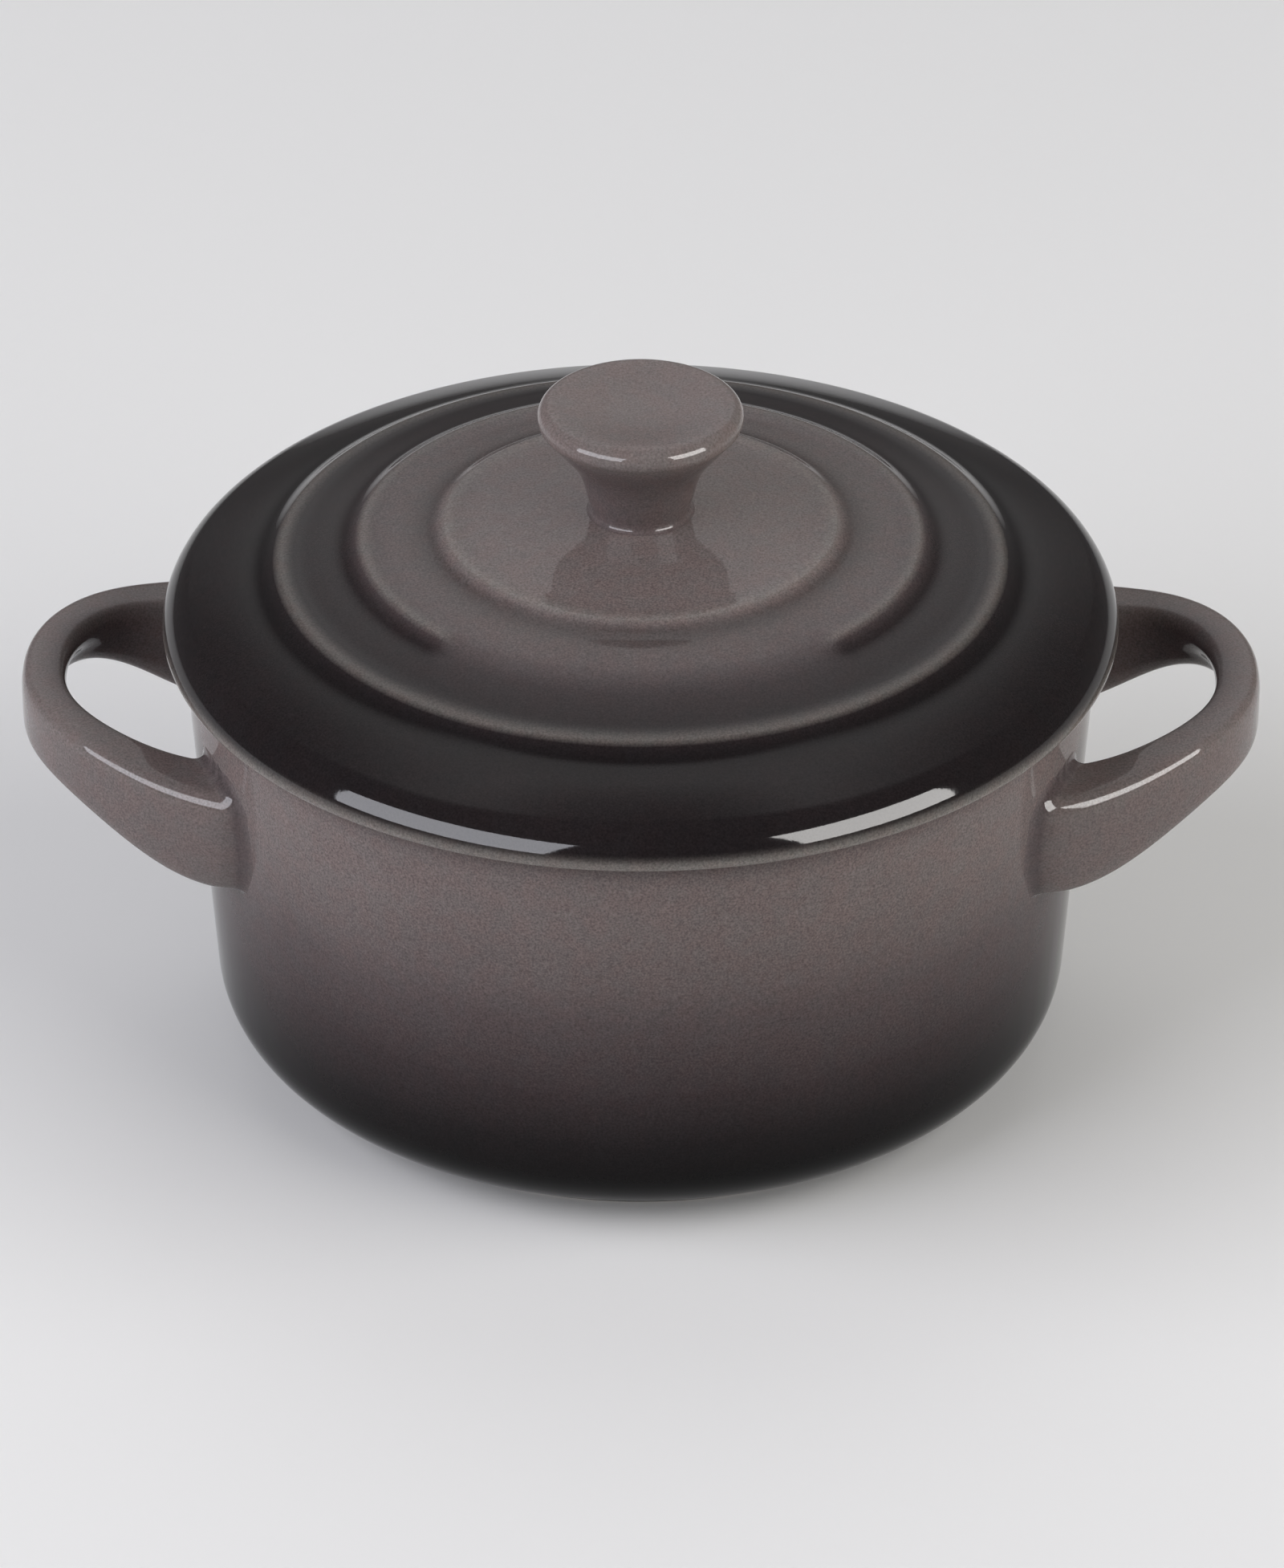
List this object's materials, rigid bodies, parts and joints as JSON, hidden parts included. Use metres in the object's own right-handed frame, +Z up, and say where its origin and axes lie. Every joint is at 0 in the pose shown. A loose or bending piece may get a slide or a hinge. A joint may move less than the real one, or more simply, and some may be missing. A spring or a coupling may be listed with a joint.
{
  "type": "mini cocotte",
  "caption": "Small round stoneware pot with loop handles and a loose domed lid with raised rings and a mushroom knob, in grey glaze that darkens to near black at the lid's edge and the base.",
  "frame": {"origin": "on the table, under the middle of the pot", "axes": "+X through the tip of the right handle, +Z up, and the bare stretch of the lid's middle ring faces -Y"},
  "size_m": [0.1324, 0.102, 0.0754],
  "materials": {
    "pot_glaze": "glossy grey glaze, near black at the base",
    "handle_glaze": "glossy warm grey glaze",
    "lid_glaze": "glossy grey glaze, near black at the edge",
    "knob_glaze": "glossy warm grey glaze"
  },
  "bodies": {
    "pot": {"pot": "pot_glaze", "handle_left": "handle_glaze", "handle_right": "handle_glaze"},
    "lid": {"lid": "lid_glaze", "knob": "knob_glaze"}
  },
  "joints": [
    {"name": "lid_lift", "type": "slide", "parent": "pot", "child": "lid", "axis": [0, 0, 1], "range_m": [0, 0.1]}
  ]
}
